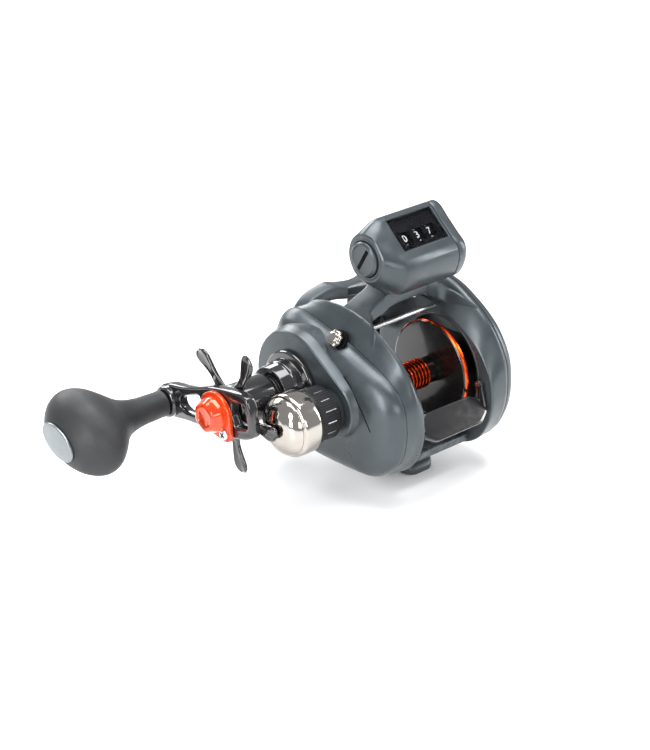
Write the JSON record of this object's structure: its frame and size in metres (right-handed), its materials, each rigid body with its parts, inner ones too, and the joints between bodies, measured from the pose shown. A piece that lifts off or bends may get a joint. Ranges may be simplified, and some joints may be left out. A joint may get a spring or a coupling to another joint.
{
  "type": "trolling reel",
  "caption": "Low-profile trolling reel with mechanical line counter, star drag, thumb bar, level wind and a single-knob handle on the left side.",
  "frame": {"origin": "middle of the flat underside of the reel foot", "axes": "+Z away from the rod, +Y forward towards the rod tip, +X towards the palm side; the spool axis is parallel to X and the handle is at -X"},
  "size_m": [0.1763, 0.1107, 0.1153],
  "materials": {
    "gunmetal": "semi-matte metallic grey moulding",
    "gloss_black": "gloss black",
    "gloss_black_metal": "gloss black lacquer",
    "chrome": "polished",
    "orange": "orange anodised",
    "soft_rubber": "soft-touch matte",
    "silver": "satin",
    "steel": "machined",
    "brass": "machined",
    "black_plastic": "moulded",
    "drum_plastic": "moulded, white digits",
    "clear_window": "clear"
  },
  "bodies": {
    "frame": {"frame": "gunmetal", "reel_foot": "gunmetal", "foot_rivet_rear": "steel", "foot_rivet_front": "steel", "gear_side_cover": "gunmetal", "palm_side_cover": "gunmetal", "cover_screw_upper": "steel", "cover_screw_lower": "steel", "cross_bar": "silver", "guide_bar": "steel", "thumb_pin_left": "silver", "thumb_pin_right": "silver", "spool_bearing_left": "steel", "spool_bearing_right": "steel", "brake_plate": "black_plastic", "drive_collar": "gloss_black", "one_way_bearing": "steel", "counter_housing": "gunmetal", "counter_end_cap": "gunmetal", "counter_window": "clear_window", "dial_panel": "black_plastic", "counter_stub": "steel", "counter_screw_left": "steel", "counter_screw_right": "steel"},
    "handle": {"handle_arm": "gloss_black_metal", "drive_shaft": "steel", "main_gear": "brass", "level_wind_drive_gear": "black_plastic", "drag_washer": "soft_rubber", "pressure_plate": "steel", "star_spring": "steel", "handle_nut": "steel", "nut_retainer": "orange", "retainer_screw": "silver", "knob_spindle": "steel"},
    "star": {"star_drag": "gloss_black_metal"},
    "knob": {"knob": "soft_rubber", "knob_plate": "silver"},
    "spool": {"spool": "orange", "spool_shaft": "steel"},
    "yoke": {"clutch_yoke": "black_plastic"},
    "pinion": {"pinion_gear": "brass"},
    "worm": {"worm_shaft": "steel", "worm_gear": "black_plastic"},
    "line_guide": {"line_guide": "black_plastic"},
    "cast_control": {"cast_control_cap": "chrome", "cast_control_ring": "black_plastic"},
    "thumb_bar": {"thumb_bar": "gloss_black"},
    "clicker": {"clicker_button": "chrome"},
    "reset": {"reset_knob": "gunmetal", "drum_shaft": "steel"},
    "units_drum": {"digit_drum_units": "drum_plastic", "units_gear": "black_plastic"},
    "tens_drum": {"digit_drum_tens": "drum_plastic"},
    "hundreds_drum": {"digit_drum_hundreds": "drum_plastic"},
    "counter_gear": {"counter_gear": "black_plastic"}
  },
  "joints": [
    {"name": "handle_turn", "type": "hinge", "parent": "frame", "child": "handle", "pos_m": [-0.081, 0.006, 0.0435], "axis": [1, 0, 0], "continuous": true},
    {"name": "star_turn", "type": "hinge", "parent": "handle", "child": "star", "pos_m": [-0.068, 0.006, 0.0435], "axis": [1, 0, 0], "range_deg": [-180, 180]},
    {"name": "knob_turn", "type": "hinge", "parent": "handle", "child": "knob", "pos_m": [-0.11, 0.03896, 0.03649], "axis": [1, 0, 0], "continuous": true},
    {"name": "spool_turn", "type": "hinge", "parent": "frame", "child": "spool", "pos_m": [0, -0.018, 0.041], "axis": [1, 0, 0], "continuous": true},
    {"name": "yoke_shift", "type": "slide", "parent": "frame", "child": "yoke", "axis": [-1, 0, 0], "range_m": [0, 0.0012], "stiffness_N_per_m": 1500, "springref_m": -0.0012},
    {"name": "pinion_turn", "type": "hinge", "parent": "yoke", "child": "pinion", "pos_m": [-0.037, -0.018, 0.041], "axis": [1, 0, 0], "continuous": true},
    {"name": "worm_turn", "type": "hinge", "parent": "frame", "child": "worm", "pos_m": [0, 0.01879, 0.04919], "axis": [1, 0, 0], "continuous": true},
    {"name": "line_guide_travel", "type": "slide", "parent": "frame", "child": "line_guide", "axis": [1, 0, 0], "range_m": [-0.0214, 0.0034]},
    {"name": "cast_control_turn", "type": "hinge", "parent": "frame", "child": "cast_control", "pos_m": [-0.06, -0.018, 0.041], "axis": [1, 0, 0], "range_deg": [-180, 180]},
    {"name": "thumb_bar_press", "type": "hinge", "parent": "frame", "child": "thumb_bar", "pos_m": [0, -0.043, 0.0415], "axis": [1, 0, 0], "range_deg": [0, 12.5]},
    {"name": "clicker_push", "type": "slide", "parent": "frame", "child": "clicker", "axis": [0.788, 0, -0.6157], "range_m": [0, 0.0008], "stiffness_N_per_m": 100, "springref_m": -0.001},
    {"name": "reset_turn", "type": "hinge", "parent": "frame", "child": "reset", "pos_m": [-0.021, -0.0156, 0.101], "axis": [1, 0, 0], "continuous": true},
    {"name": "units_turn", "type": "hinge", "parent": "frame", "child": "units_drum", "pos_m": [0.0092, -0.0156, 0.101], "axis": [1, 0, 0], "continuous": true},
    {"name": "tens_turn", "type": "hinge", "parent": "frame", "child": "tens_drum", "pos_m": [0.0023, -0.0156, 0.101], "axis": [1, 0, 0], "continuous": true},
    {"name": "hundreds_turn", "type": "hinge", "parent": "frame", "child": "hundreds_drum", "pos_m": [-0.0046, -0.0156, 0.101], "axis": [1, 0, 0], "continuous": true},
    {"name": "counter_gear_turn", "type": "hinge", "parent": "frame", "child": "counter_gear", "pos_m": [0.0135, -0.0216, 0.0925], "axis": [1, 0, 0], "continuous": true}
  ],
  "couplings": [
    {"joint": "pinion_turn", "follows": "handle_turn", "ratio": -5.4},
    {"joint": "spool_turn", "follows": "handle_turn", "ratio": -5.4},
    {"joint": "worm_turn", "follows": "handle_turn", "ratio": -1.5},
    {"joint": "units_turn", "follows": "handle_turn", "ratio": 0.2},
    {"joint": "tens_turn", "follows": "handle_turn", "ratio": 0.02},
    {"joint": "hundreds_turn", "follows": "handle_turn", "ratio": 0.002},
    {"joint": "counter_gear_turn", "follows": "handle_turn", "ratio": -0.4},
    {"joint": "thumb_bar_press", "follows": "yoke_shift", "rad_per_m": 174.53}
  ]
}
